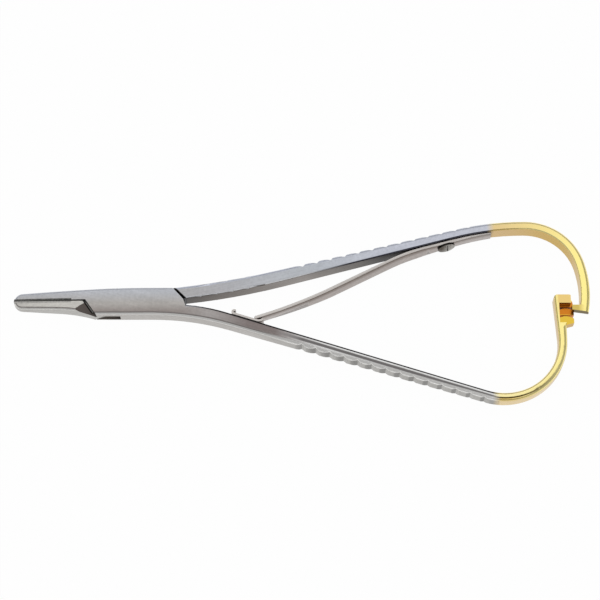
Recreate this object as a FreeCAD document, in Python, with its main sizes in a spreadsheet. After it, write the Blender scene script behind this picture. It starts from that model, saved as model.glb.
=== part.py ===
import FreeCAD, Part
import math
import os
import Sketcher

# Surgical needle holder of the box-lock kind, lying flat, jaws towards -X.
# Outlines are drawn about the pivot, and every sub-part is placed by the pivot's position.

os.makedirs("parts", exist_ok=True)
doc = FreeCAD.newDocument("needle_holder")

# Driving dimensions in millimetres, angles in degrees.
dimensions = {
    "body_thick": 5.4,
    "cut_over": 1.0,
    "jaw_reach": 35.5,
    "jaw_line": 0.3,
    "jaw_tip_gap": 0.03,
    "jaw_root_gap": 0.25,
    "jaw_tip_radius": 2.5,
    "jaw_back_slope": 3.0,
    "jaw_back_blend": 9.0,
    "jaw_belly_slope": 2.0,
    "jaw_belly_end": 22.0,
    "tip_thick": 2.6,
    "taper_start": 4.0,
    "insert_length": 17.0,
    "insert_thick": 0.65,
    "box_half_height": 4.35,
    "shoulder_near": 11.0,
    "shoulder_far": 14.4,
    "crotch_high": 0.6,
    "crotch_low": 1.0,
    "crotch_past": 0.5,
    "crotch_run": 0.25,
    "crotch_lift": 0.3,
    "shoulder_gap": 0.38,
    "facet_left": 17.2,
    "facet_rise": 31.0,
    "facet_low": 2.1,
    "facet_tilt": 20.0,
    "facet_sink": 0.2,
    "plate_thick": 1.45,
    "lock_clearance": 0.05,
    "slot_side_clearance": 0.2,
    "open_angle": 12.0,
    "slot_turn_spare": 1.0,
    "pin_radius": 1.4,
    "pin_clearance": 0.03,
    "jaw_round": 0.9,
    "outer_round": 1.2,
    "inner_round": 0.4,
    "lower_inner_round": 0.8,
    "upper_start": 43.0,
    "upper_outer_slope": 13.85,
    "upper_inner_slope": 15.0,
    "upper_bow_width": 2.75,
    "upper_bow_x": 115.7,
    "upper_bow_y": 7.7,
    "upper_bow_radius": 17.9,
    "upper_top_radius": 84.0,
    "upper_end_radius": 34.5,
    "upper_end_slope": 75.0,
    "lower_start": 27.0,
    "lower_blend": 11.5,
    "lower_outer_slope": 16.7,
    "lower_inner_slope": 17.66,
    "lower_bow_x": 107.9,
    "lower_bow_y": 11.9,
    "lower_bow_radius": 18.9,
    "lower_bow_width": 2.5,
    "stem_lean": 4.0,
    "head_right": 128.7,
    "head_top": 2.0,
    "head_round": 1.0,
    "head_overlap": 0.4,
    "rack_right": 129.3,
    "rack_bottom": 6.4,
    "rack_root": 125.2,
    "rack_face": 128.3,
    "rack_layer": 3.0,
    "rack_pitch": 2.45,
    "rack_first": 1.2,
    "rack_flat": 0.7,
    "rack_ridge": 0.35,
    "rack_notches": 2.0,
    "rack_recess": 124.8,
    "rack_cap": 0.6,
    "rack_crown": 4.0,
    "prong_gap": 0.2,
    "prong_step_rise": 0.3,
    "prong_left": 128.6,
    "prong_top": 1.2,
    "prong_tip": 1.5,
    "prong_bottom": 3.4,
    "scallop_first": 49.0,
    "scallop_pitch": 4.25,
    "scallop_depth": 0.8,
    "scallop_lip": 0.12,
    "scallop_step": 0.3,
    "scallop_radius": 5.8,
    "scallop_fade": 0.35,
    "scallop_count": 14.0,
    "spring_thick": 0.95,
    "spring_width": 4.0,
    "spring_seat_gap": 0.05,
    "spring_tail_slope": 7.1,
    "spring_bend_radius": 60.0,
    "spring_slope": 27.2,
    "spring_end_radius": 147.0,
    "spring_end_slope": 17.5,
    "spring_rest": 7.4,
    "spring_rest_gap": 0.06,
    "screw_place": 92.0,
    "screw_radius": 1.25,
    "screw_head_radius": 2.6,
    "screw_head_height": 1.3,
    "screw_slot_width": 0.6,
    "screw_slot_depth": 0.6,
    "head_rim_share": 0.5,
    "screw_depth": 1.6,
    "keeper_left": 28.4,
    "keeper_thick": 0.6,
    "keeper_width": 4.4,
    "keeper_seat": 0.05,
    "keeper_roll": 0.8,
    "keeper_lip": 0.3,
    "keeper_run": 7.9,
    "keeper_curl_radius": 2.2,
    "keeper_curl_angle": 60.0,
    "rivet_place": 32.6,
    "rivet_radius": 0.9,
    "rivet_head_radius": 1.5,
    "rivet_head_height": 0.4,
    "rivet_depth": 2.0,
}

sheet = doc.addObject("Spreadsheet::Sheet", "sizes")
kept_names = []
for row, (name, number) in enumerate(dimensions.items(), start=1):
    sheet.set(f"A{row}", name)
    sheet.set(f"B{row}", str(number))
    sheet.setAlias(f"B{row}", name)
doc.recompute()


# A size knows its number and the formula over the sheet's cells that gives it.
class Size:
    def __init__(self, number, text):
        self.number = float(number)
        self.text = text

    def __add__(self, other):
        other = as_size(other)
        return Size(self.number + other.number, f"({self.text} + {other.text})")

    def __radd__(self, other):
        return as_size(other) + self

    def __sub__(self, other):
        other = as_size(other)
        return Size(self.number - other.number, f"({self.text} - {other.text})")

    def __rsub__(self, other):
        return as_size(other) - self

    def __mul__(self, other):
        other = as_size(other)
        return Size(self.number * other.number, f"({self.text} * {other.text})")

    def __rmul__(self, other):
        return as_size(other) * self

    def __truediv__(self, other):
        other = as_size(other)
        return Size(self.number / other.number, f"({self.text} / {other.text})")

    def __neg__(self):
        return Size(-self.number, f"(0 - {self.text})")


def as_size(value):
    return value if isinstance(value, Size) else Size(value, repr(float(value)))


def cell(name):
    return Size(dimensions[name], f"sizes.{name}")


# A worked-out size gets a named cell of its own, so that the formulas built on it stay short.
def kept(name, size):
    kept_names.append(name)
    place = len(dimensions) + len(kept_names)
    sheet.set(f"A{place}", name)
    sheet.set(f"B{place}", "=" + size.text.replace("sizes.", ""))
    sheet.setAlias(f"B{place}", name)
    doc.recompute()
    return Size(size.number, f"sizes.{name}")


def sine(angle):
    return Size(math.sin(math.radians(angle.number)), f"sin({angle.text})")


def cosine(angle):
    return Size(math.cos(math.radians(angle.number)), f"cos({angle.text})")


def tangent(angle):
    return Size(math.tan(math.radians(angle.number)), f"tan({angle.text})")


def arc_tangent(ratio):
    return Size(math.degrees(math.atan(ratio.number)), f"(atan({ratio.text}) / 1 deg)")


def square_root(size):
    return Size(math.sqrt(size.number), f"sqrt({size.text})")


def polar(centre, radius, angle):
    x = centre[0] + radius * cosine(angle)
    y = centre[1] + radius * sine(angle)
    return x, y


# Radius of the arc that leaves a point and meets a line of a given slope at its end,
# positive where it turns left.
def fair_radius(start, end, slope):
    along = end[0] - start[0]
    across = end[1] - start[1]
    offset = along * sine(slope) - across * cosine(slope)
    return (along * along + across * across) / (offset * 2.0)


def bind(item, prop, size):
    size = as_size(size)
    item.setExpression(prop, size.text)


def new_body(label):
    body = doc.addObject("PartDesign::Body", label)
    body.Label = label
    bind(body, "Placement.Base.x", pivot_x)
    bind(body, "Placement.Base.y", pivot_y)
    return body


def new_sketch(body, name, role="XY_Plane", height=None):
    sketch = body.newObject("Sketcher::SketchObject", name)
    plane = next(item for item in body.Origin.OriginFeatures if item.Role == role)
    sketch.AttachmentSupport = [(plane, "")]
    sketch.MapMode = "FlatFace"
    if height is not None:
        bind(sketch, "AttachmentOffset.Base.z", height)
    return sketch


# An arc goes from its corner to the next: a positive radius turns left, a negative one right.
def arc_between(start, end, radius):
    x0, y0 = start
    x1, y1 = end
    size = abs(radius)
    chord = math.hypot(x1 - x0, y1 - y0)
    rise = math.sqrt(max(size * size - chord * chord / 4.0, 0.0))
    side = math.copysign(rise / chord, radius)
    centre_x = (x0 + x1) / 2.0 - (y1 - y0) * side
    centre_y = (y0 + y1) / 2.0 + (x1 - x0) * side
    circle = Part.Circle(FreeCAD.Vector(centre_x, centre_y, 0), FreeCAD.Vector(0, 0, 1), size)
    from_angle = math.atan2(y0 - centre_y, x0 - centre_x)
    to_angle = math.atan2(y1 - centre_y, x1 - centre_x)
    if radius < 0:
        from_angle, to_angle = to_angle, from_angle
    if to_angle < from_angle:
        to_angle += 2.0 * math.pi
    return Part.ArcOfCircle(circle, from_angle, to_angle)


# Draws a closed outline. Each corner is (x, y) or (x, y, radius of the arc that leaves it).
def draw_outline(sketch, corners):
    spots = [(corner[0].number, corner[1].number) for corner in map(sized, corners)]
    segments = []
    for index, corner in enumerate(map(sized, corners)):
        start = spots[index]
        end = spots[(index + 1) % len(spots)]
        if len(corner) == 3:
            curve = arc_between(start, end, corner[2].number)
            first = 1 if corner[2].number > 0 else 2
        else:
            curve = Part.LineSegment(FreeCAD.Vector(*start, 0), FreeCAD.Vector(*end, 0))
            first = 1
        segments.append((sketch.addGeometry(curve), first))
    for index, corner in enumerate(map(sized, corners)):
        geometry, first = segments[index]
        following, entry = segments[(index + 1) % len(segments)]
        last = 3 - first
        sketch.addConstraint(Sketcher.Constraint("Coincident", geometry, last, following, entry))
        for axis, size in (("DistanceX", corner[0]), ("DistanceY", corner[1])):
            rule = Sketcher.Constraint(axis, -1, 1, geometry, first, size.number)
            number = sketch.addConstraint(rule)
            bind(sketch, f"Constraints[{number}]", size)
        if len(corner) == 3:
            size = corner[2] if corner[2].number > 0 else -corner[2]
            number = sketch.addConstraint(Sketcher.Constraint("Radius", geometry, size.number))
            bind(sketch, f"Constraints[{number}]", size)
    return [geometry for geometry, first in segments]


def sized(corner):
    return tuple(as_size(item) for item in corner)


def draw_circle(sketch, x, y, radius):
    x, y, radius = sized((x, y, radius))
    circle = Part.Circle(FreeCAD.Vector(x.number, y.number, 0), FreeCAD.Vector(0, 0, 1), radius.number)
    geometry = sketch.addGeometry(circle)
    rules = (
        (Sketcher.Constraint("DistanceX", -1, 1, geometry, 3, x.number), x),
        (Sketcher.Constraint("DistanceY", -1, 1, geometry, 3, y.number), y),
        (Sketcher.Constraint("Radius", geometry, radius.number), radius),
    )
    for rule, size in rules:
        number = sketch.addConstraint(rule)
        bind(sketch, f"Constraints[{number}]", size)


def pad(body, sketch, name, length):
    feature = body.newObject("PartDesign::Pad", name)
    feature.Profile = sketch
    bind(feature, "Length", length)
    doc.recompute()
    return feature


# A pocket that goes up from its sketch, or through everything on both sides of it.
def pocket(body, sketch, name, length=None):
    before = body.Shape.Volume
    feature = body.newObject("PartDesign::Pocket", name)
    feature.Profile = sketch
    if length is None:
        feature.Midplane = True
        feature.Type = "ThroughAll"
    else:
        feature.Reversed = True
        bind(feature, "Length", length)
    doc.recompute()
    if not body.Shape.Volume < before - 0.001:
        raise RuntimeError(f"{name} removes nothing: {feature.getStatusString()}")
    return feature


# Names of the level edges that follow chosen segments of an outline.
def rim_edges(body, sketch, segments):
    curves = [sketch.Geometry[index].toShape() for index in segments]
    local = body.Shape.copy()
    local.Placement = FreeCAD.Placement()
    names = []
    for index, edge in enumerate(local.Edges, start=1):
        start = edge.valueAt(edge.FirstParameter)
        middle = edge.valueAt((edge.FirstParameter + edge.LastParameter) / 2.0)
        end = edge.valueAt(edge.LastParameter)
        if abs(start.x - end.x) + abs(start.y - end.y) < 0.01:
            continue
        spots = [Part.Vertex(point.x, point.y, 0) for point in (start, middle, end)]
        if any(max(spot.distToShape(curve)[0] for spot in spots) < 0.02 for curve in curves):
            names.append(f"Edge{index}")
    return names


def round_edges(body, base, name, edges, radius):
    feature = body.newObject("PartDesign::Fillet", name)
    feature.Base = (base, edges)
    bind(feature, "Radius", radius)
    doc.recompute()
    return feature


body_thick = cell("body_thick")
cut_over = cell("cut_over")
middle_height = body_thick / 2.0
jaw_line = cell("jaw_line")
tip_x = -cell("jaw_reach")
tip_centre = (tip_x + cell("jaw_tip_radius"), jaw_line)
box_edge = cell("box_half_height")
near = cell("shoulder_near")
far = cell("shoulder_far")
gap = cell("shoulder_gap")

lower_centre = (cell("lower_bow_x"), -cell("lower_bow_y"))
lower_outer = cell("lower_bow_radius")
lower_inner = lower_outer - cell("lower_bow_width")
upper_centre = (cell("upper_bow_x"), cell("upper_bow_y"))
upper_outer = cell("upper_bow_radius")

bow_right = upper_centre[0] + (upper_outer - cell("upper_end_radius")) * sine(cell("upper_end_slope"))
bow_right = bow_right + cell("upper_end_radius")
bow_top = upper_centre[1] + upper_outer
bow_bottom = lower_centre[1] - lower_outer
pivot_x = kept("pivot_x", (-bow_right - tip_x) / 2.0)
pivot_y = kept("pivot_y", (-bow_top - bow_bottom) / 2.0)


# Where a line of a given slope that ends on a circle passes a given x.
def line_height(end, slope, x):
    return end[1] - (end[0] - x) * tangent(slope)


tongue_top = (
    (-far - gap, jaw_line - cell("jaw_root_gap")),
    (near + gap, box_edge),
)
tongue_low = (
    (-near - gap, -box_edge),
    (far + gap, cell("crotch_high")),
)
lower_face_slope = -cell("lower_inner_slope")
lower_face_end = polar(lower_centre, lower_inner, lower_face_slope - 90.0)
keeper_foot_y = kept("keeper_foot_y", line_height(lower_face_end, lower_face_slope, cell("keeper_left")))
keeper_foot = (cell("keeper_left"), keeper_foot_y)
rivet_along = (cell("rivet_place") - cell("keeper_left")) / cosine(lower_face_slope)


# A point over the inner face of the lower handle: along it from the keeper's left end, and off it.
def keeper_spot(along, off):
    x = keeper_foot[0] + along * cosine(lower_face_slope) - off * sine(lower_face_slope)
    y = keeper_foot[1] + along * sine(lower_face_slope) + off * cosine(lower_face_slope)
    return x, y


upper_top_centre = (upper_centre[0], bow_top - cell("upper_top_radius"))
upper_face_slope = cell("upper_inner_slope")
upper_face_end = polar(
    upper_top_centre, cell("upper_top_radius") - cell("upper_bow_width"), upper_face_slope + 90.0
)


# A point under the inner face of the upper handle at a given x, and a given way off the face.
def under_handle(x, off):
    y = line_height(upper_face_end, upper_face_slope, x)
    return x + off * sine(upper_face_slope), y - off * cosine(upper_face_slope)


# The curved wedges that thin a jaw towards its tip, seen from the side.
def taper_jaw(body):
    sketch = new_sketch(body, body.Label + "_taper_profile", "XZ_Plane")
    root = -cell("taper_start")
    beyond = tip_x - cut_over
    drop = (body_thick - cell("tip_thick")) / 2.0
    length = root - tip_x
    radius = (length * length + drop * drop) / (drop * 2.0)
    reach = length + cut_over
    low = radius - square_root(radius * radius - reach * reach)
    draw_outline(sketch, [(beyond, -cut_over), (root, -cut_over), (root, 0.0, -radius), (beyond, low)])
    high = body_thick - low
    over = body_thick + cut_over
    draw_outline(sketch, [(beyond, high, -radius), (root, body_thick), (root, over), (beyond, over)])
    return pocket(body, sketch, body.Label + "_taper")


# The seat of a hard insert in a jaw: side is 1 for the upper jaw and -1 for the lower one.
def cut_insert_seat(body, side):
    sketch = new_sketch(body, body.Label + "_seat_profile")
    left = tip_x - cut_over
    right = tip_x + cell("insert_length")
    low = jaw_line - side * cut_over
    high = jaw_line + side * cell("insert_thick")
    draw_outline(sketch, [(left, low), (right, low), (right, high), (left, high)])
    return pocket(body, sketch, body.Label + "_seat")


# The slot through the box: its walls follow the tongue shut, and turned by the opening angle.
def cut_slot(body):
    turn = cell("open_angle") + cell("slot_turn_spare")
    spare = cell("slot_side_clearance")
    reach = far + cut_over * 2.0
    centre = (as_size(0), as_size(0))
    upper_angle = arc_tangent((tongue_top[1][1] - tongue_top[0][1]) / (tongue_top[1][0] - tongue_top[0][0]))
    lower_angle = arc_tangent((tongue_low[1][1] - tongue_low[0][1]) / (tongue_low[1][0] - tongue_low[0][0]))
    above = tongue_top[0][1] * cosine(upper_angle) - tongue_top[0][0] * sine(upper_angle) + spare
    below = tongue_low[0][0] * sine(lower_angle) - tongue_low[0][1] * cosine(lower_angle) + spare
    upper = polar(centre, above / cosine(turn / 2.0), upper_angle + 90.0 + turn / 2.0)
    lower = polar(centre, below / cosine(turn / 2.0), lower_angle - 90.0 + turn / 2.0)
    corners = [
        polar(upper, reach, upper_angle + 180.0),
        upper,
        polar(upper, reach, upper_angle + turn),
        polar(lower, reach, lower_angle),
        lower,
        polar(lower, reach, lower_angle + turn + 180.0),
    ]
    sketch = new_sketch(body, "box_slot_profile", height=cell("plate_thick"))
    draw_outline(sketch, corners)
    return pocket(body, sketch, "box_slot", body_thick - cell("plate_thick") * 2.0)


# The block at the end of the lower bow that carries the rack, with its top corners rounded.
def add_rack_block(body, left, stem_right):
    top = cell("head_top")
    bottom = -cell("rack_bottom")
    right = cell("head_right")
    turn = cell("head_round")
    inside = stem_right - cell("outer_round") - cell("head_overlap")
    sketch = new_sketch(body, "rack_block_outline")
    corners = [
        (inside, top),
        (right, top),
        (cell("rack_right"), -cell("rack_first")),
        (cell("rack_right"), bottom + cell("rack_ridge")),
        (stem_right, bottom - cell("rack_ridge")),
        (inside, bottom - cell("rack_pitch")),
    ]
    draw_outline(sketch, corners)
    pad(body, sketch, "rack_block", body_thick)
    sketch = new_sketch(body, "head_corner_profile")
    above = top + cut_over
    low = top - turn
    before = left - cut_over
    beyond = right + cut_over
    draw_outline(sketch, [(before, low), (left, low, -turn), (left + turn, top), (left + turn, above),
                          (before, above)])
    draw_outline(sketch, [(right - turn, above), (right - turn, top, -turn), (right, low),
                          (beyond, low), (beyond, above)])
    return pocket(body, sketch, "head_corners")


# The rack at the end of the lower bow: undercut notches, and a step that lets the prong pass in front.
def cut_rack(body):
    root = cell("rack_root")
    beyond = cell("rack_right") + cut_over
    top = -cell("rack_first")
    sketch = new_sketch(body, "rack_notch_profile")
    next_ridge = top - cell("rack_pitch") + cell("rack_ridge")
    crown = cell("rack_crown")
    corners = [(root, top), (root, top - cell("rack_flat"), -crown), (beyond, next_ridge), (beyond, top)]
    draw_outline(sketch, corners)
    notch = pocket(body, sketch, "rack_notch")
    pattern = body.newObject("PartDesign::LinearPattern", "rack_notches")
    pattern.Originals = [notch]
    pattern.Direction = (sketch, ["V_Axis"])
    pattern.Reversed = True
    span = cell("rack_pitch") * (cell("rack_notches") - 1.0)
    bind(pattern, "Length", span)
    bind(pattern, "Occurrences", cell("rack_notches"))
    body.Tip = pattern
    doc.recompute()
    sketch = new_sketch(body, "rack_step_profile", height=cell("rack_layer"))
    face = cell("rack_face")
    recess = cell("rack_recess")
    high = cell("head_top") + cut_over
    cap = -cell("rack_cap")
    low = -cell("rack_bottom") - cell("rack_ridge")
    draw_outline(sketch, [(recess, low), (beyond, low), (beyond, high), (face, high), (face, cap), (recess, cap)])
    return pocket(body, sketch, "rack_step", body_thick)


# The sloping facet that clears the box's shoulder, on the front face of the lower jaw's root.
def cut_facet(body):
    left = -cell("facet_left")
    rise = cell("facet_rise")
    tilt = cell("facet_tilt")
    reach = (-far - left) / cosine(rise) + gap
    deep = box_edge / cosine(rise) / cosine(tilt)
    lean = tangent(arc_tangent((near - far) / box_edge) + rise)
    sketch = new_sketch(body, "facet_profile")
    turn = FreeCAD.Rotation(FreeCAD.Vector(0, 0, 1), rise.number)
    tip = FreeCAD.Rotation(FreeCAD.Vector(1, 0, 0), tilt.number)
    sketch.AttachmentOffset = FreeCAD.Placement(FreeCAD.Vector(0, 0, 0), turn * tip)
    bind(sketch, "AttachmentOffset.Base.x", left)
    bind(sketch, "AttachmentOffset.Base.y", -cell("facet_low"))
    bind(sketch, "AttachmentOffset.Base.z", body_thick - cell("facet_sink"))
    corners = [(-reach, 0), (-reach, -deep), (reach - deep * lean, -deep), (reach, 0)]
    draw_outline(sketch, corners)
    return pocket(body, sketch, "shoulder_facet", body_thick)


# Scalloped finger grip along the outer side of a handle: side is 1 above and -1 below.
def cut_scallops(body, start, slope, side):
    along = cell("scallop_first")
    sketch = new_sketch(body, body.Label + "_scallop_profile")
    bind(sketch, "AttachmentOffset.Base.x", along)
    bind(sketch, "AttachmentOffset.Base.y", line_height(start, slope, along))
    bind(sketch, "AttachmentOffset.Rotation.Angle", slope + side * cell("scallop_fade"))
    doc.recompute()
    proud = side * cell("scallop_depth")
    deep = -side * cell("scallop_depth")
    corners = [
        (0, proud),
        (0, deep),
        (cell("scallop_step"), -side * cell("scallop_lip"), -side * cell("scallop_radius")),
        (cell("scallop_pitch"), deep),
        (cell("scallop_pitch"), proud),
    ]
    draw_outline(sketch, corners)
    notch = pocket(body, sketch, body.Label + "_scallop")
    pattern = body.newObject("PartDesign::LinearPattern", body.Label + "_scallops")
    pattern.Originals = [notch]
    pattern.Direction = (sketch, ["H_Axis"])
    bind(pattern, "Length", cell("scallop_pitch") * (cell("scallop_count") - 1.0))
    bind(pattern, "Occurrences", cell("scallop_count"))
    body.Tip = pattern
    doc.recompute()
    return pattern


# A blind round hole in the flat middle of a half, square to a line of a given slope.
def drill(body, name, x, y, slope, radius, depth):
    tool = body.newObject("PartDesign::SubtractiveCylinder", name)
    plane = next(item for item in body.Origin.OriginFeatures if item.Role == "XY_Plane")
    tool.AttachmentSupport = [(plane, "")]
    tool.MapMode = "FlatFace"
    turn = 90.0 if depth.number < 0 else -90.0
    spin = FreeCAD.Rotation(FreeCAD.Vector(0, 0, 1), slope.number)
    tool.AttachmentOffset = FreeCAD.Placement(
        FreeCAD.Vector(x.number, y.number, 0),
        spin * FreeCAD.Rotation(FreeCAD.Vector(1, 0, 0), turn),
    )
    bind(tool, "AttachmentOffset.Base.x", x)
    bind(tool, "AttachmentOffset.Base.y", y)
    bind(tool, "AttachmentOffset.Base.z", middle_height)
    bind(tool, "Radius", radius)
    bind(tool, "Height", depth if depth.number > 0 else -depth)
    doc.recompute()
    return tool


# The half with the upper jaw, the box that the other half passes through, and the lower handle.
def make_box_half():
    body = new_body("box_half")
    outline = new_sketch(body, "box_half_outline")
    inner_slope = -cell("lower_inner_slope")
    outer_slope = -cell("lower_outer_slope")
    start_x = cell("lower_start")
    inner_end = polar(lower_centre, lower_inner, inner_slope - 90.0)
    outer_end = polar(lower_centre, lower_outer, outer_slope - 90.0)
    inner_start = (start_x, line_height(inner_end, inner_slope, start_x))
    corner_x = outer_end[0] - (outer_end[1] + box_edge) / tangent(outer_slope)
    blend = cell("lower_blend")
    outer_start = polar((corner_x, -box_edge), blend, outer_slope)
    back_slope = cell("jaw_back_slope")
    tip_end = polar(tip_centre, cell("jaw_tip_radius"), back_slope + 90.0)
    back_x = tip_end[0] + (box_edge - tip_end[1]) / tangent(back_slope)
    back_blend = cell("jaw_back_blend")
    crotch = (far + cell("crotch_past"), -cell("crotch_low"))
    lean = cell("stem_lean")
    stem_start = polar(lower_centre, lower_inner, lean)
    stem_right = lower_centre[0] + lower_outer
    head_left = stem_start[0] - (cell("head_top") - stem_start[1]) * tangent(lean)
    corners = [
        (tip_x, jaw_line + cell("jaw_tip_gap"), -cell("jaw_tip_radius")),
        tip_end,
        (*polar((back_x, box_edge), -back_blend, back_slope), -back_blend / tangent(back_slope / 2.0)),
        (back_x + back_blend, box_edge),
        (near, box_edge),
        (far, cell("crotch_high")),
        (*crotch, fair_radius(crotch, inner_start, inner_slope)),
        inner_start,
        (*inner_end, lower_inner),
        stem_start,
        (head_left, cell("head_top")),
        (stem_right, cell("head_top")),
        (stem_right, lower_centre[1], -lower_outer),
        outer_end,
        (*outer_start, -blend / tangent(outer_slope / 2.0)),
        (corner_x - blend, -box_edge),
        (-near, -box_edge),
        (-far, jaw_line + cell("jaw_root_gap")),
    ]
    segments = draw_outline(outline, corners)
    pad(body, outline, "box_half_blank", body_thick)
    base = taper_jaw(body)
    edges = rim_edges(body, outline, segments[0:4])
    base = round_edges(body, base, "box_half_jaw_round", edges, cell("jaw_round"))
    edges = rim_edges(body, outline, segments[11:16])
    base = round_edges(body, base, "box_half_outer_round", edges, cell("outer_round"))
    edges = rim_edges(body, outline, segments[6:10])
    round_edges(body, base, "box_half_inner_round", edges, cell("lower_inner_round"))
    cut_slot(body)
    cut_insert_seat(body, 1)
    sketch = new_sketch(body, "box_half_pin_profile")
    draw_circle(sketch, 0, 0, cell("pin_radius"))
    pocket(body, sketch, "box_half_pin_hole")
    add_rack_block(body, head_left, stem_right)
    cut_rack(body)
    cut_scallops(body, outer_start, outer_slope, -1)
    drill(body, "box_half_rivet_hole", *keeper_spot(rivet_along, 0), inner_slope, cell("rivet_radius"),
          -cell("rivet_depth"))
    return body


# The half with the lower jaw, the tongue that passes through the box, the upper handle and the prong.
def make_cross_half():
    body = new_body("cross_half")
    outline = new_sketch(body, "cross_half_outline")
    outer_slope = cell("upper_outer_slope")
    start_x = cell("upper_start")
    top_radius = cell("upper_top_radius")
    end_radius = cell("upper_end_radius")
    width = cell("upper_bow_width")
    end_angle = 90.0 - cell("upper_end_slope")
    end_centre = polar(upper_centre, upper_outer - end_radius, end_angle)
    outer_end = polar(upper_top_centre, top_radius, outer_slope + 90.0)
    outer_start = (start_x, line_height(outer_end, outer_slope, start_x))
    inner_start = (start_x, line_height(upper_face_end, upper_face_slope, start_x))
    prong_top = -cell("prong_top")
    prong_low = -cell("prong_bottom")
    prong_end = prong_top - cell("prong_tip")
    prong_left = cell("prong_left")
    fall = end_centre[1] - prong_low
    outer_x = end_centre[0] + square_root(end_radius * end_radius - fall * fall)
    drop = end_centre[1] - prong_top
    short = end_radius - width
    inner_x = end_centre[0] + square_root(short * short - drop * drop)
    crotch = (tongue_low[1][0] + cell("crotch_run"), tongue_low[1][1] + cell("crotch_lift"))
    belly_slope = 180.0 - cell("jaw_belly_slope")
    tip_end = polar(tip_centre, cell("jaw_tip_radius"), belly_slope + 90.0)
    belly_end = (-cell("jaw_belly_end"), line_height(tip_end, belly_slope, -cell("jaw_belly_end")))
    corners = [
        (tip_x, jaw_line - cell("jaw_tip_gap")),
        tongue_top[0],
        (*tongue_top[1], fair_radius(tongue_top[1], outer_start, outer_slope)),
        outer_start,
        (*outer_end, -top_radius),
        (upper_centre[0], bow_top, -upper_outer),
        (*polar(upper_centre, upper_outer, end_angle), -end_radius),
        (outer_x, prong_low),
        (prong_left, prong_end),
        (prong_left, prong_top),
        (inner_x, prong_top, short),
        (*polar(upper_centre, upper_outer - width, end_angle), upper_outer - width),
        (upper_centre[0], bow_top - width, top_radius - width),
        upper_face_end,
        (*inner_start, -fair_radius(crotch, inner_start, upper_face_slope)),
        crotch,
        tongue_low[1],
        (*tongue_low[0], fair_radius(tongue_low[0], belly_end, belly_slope)),
        belly_end,
        (*tip_end, -cell("jaw_tip_radius")),
    ]
    segments = draw_outline(outline, corners)
    pad(body, outline, "cross_half_blank", body_thick)
    taper_jaw(body)
    base = cut_tongue(body)
    edges = rim_edges(body, outline, segments[17:20])
    base = round_edges(body, base, "cross_half_jaw_round", edges, cell("jaw_round"))
    edges = rim_edges(body, outline, segments[2:7])
    base = round_edges(body, base, "cross_half_outer_round", edges, cell("outer_round"))
    edges = rim_edges(body, outline, segments[10:15])
    round_edges(body, base, "cross_half_inner_round", edges, cell("inner_round"))
    cut_facet(body)
    cut_insert_seat(body, -1)
    sketch = new_sketch(body, "cross_half_pin_profile")
    draw_circle(sketch, 0, 0, cell("pin_radius") + cell("pin_clearance"))
    pocket(body, sketch, "cross_half_pin_hole")
    sketch = new_sketch(body, "prong_step_profile")
    left = prong_left - cut_over
    right = bow_right + cut_over
    high = prong_top + cell("prong_step_rise")
    low = prong_low - cut_over
    draw_outline(sketch, [(left, low), (right, low), (right, high), (left, high)])
    pocket(body, sketch, "prong_step", cell("rack_layer") + cell("prong_gap"))
    cut_scallops(body, outer_start, outer_slope, 1)
    spot = under_handle(cell("screw_place"), 0)
    drill(body, "cross_half_screw_hole", *spot, upper_face_slope, cell("screw_radius"), cell("screw_depth"))
    return body


# The tongue is thinned on both faces, from one shoulder to the other.
def cut_tongue(body):
    depth = cell("plate_thick") + cell("lock_clearance")
    above = box_edge + cut_over
    corners = [
        tongue_top[0],
        (tongue_top[0][0], above),
        (tongue_top[1][0], above),
        tongue_top[1],
        tongue_low[1],
        (tongue_low[1][0], -above),
        (tongue_low[0][0], -above),
        tongue_low[0],
    ]
    sketch = new_sketch(body, "tongue_back_profile")
    draw_outline(sketch, corners)
    pocket(body, sketch, "tongue_back", depth)
    sketch = new_sketch(body, "tongue_front_profile", height=body_thick - depth)
    draw_outline(sketch, corners)
    return pocket(body, sketch, "tongue_front", depth + cut_over)


# A hard insert brazed into a jaw: side is 1 for the upper jaw and -1 for the lower one.
def make_insert(label, side):
    body = new_body(label)
    sketch = new_sketch(body, label + "_outline")
    radius = cell("jaw_tip_radius")
    thick = cell("insert_thick")
    tip_gap = cell("jaw_tip_gap")
    length = cell("insert_length")
    root_gap = tip_gap + (cell("jaw_root_gap") - tip_gap) * length / (cell("jaw_reach") - far)
    tip_top = tip_centre[0] - square_root(radius * radius - thick * thick)
    corners = [
        (tip_x, jaw_line + side * tip_gap),
        (tip_x + length, jaw_line + side * root_gap),
        (tip_x + length, jaw_line + side * thick),
        (tip_top, jaw_line + side * thick, side * radius),
    ]
    draw_outline(sketch, corners)
    pad(body, sketch, label + "_blank", body_thick)
    taper_jaw(body)
    return body


def make_pin():
    pin = doc.addObject("Part::Cylinder", "pivot_pin")
    pin.Label = "pivot_pin"
    bind(pin, "Radius", cell("pin_radius"))
    bind(pin, "Height", body_thick)
    bind(pin, "Placement.Base.x", pivot_x)
    bind(pin, "Placement.Base.y", pivot_y)
    return pin


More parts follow.
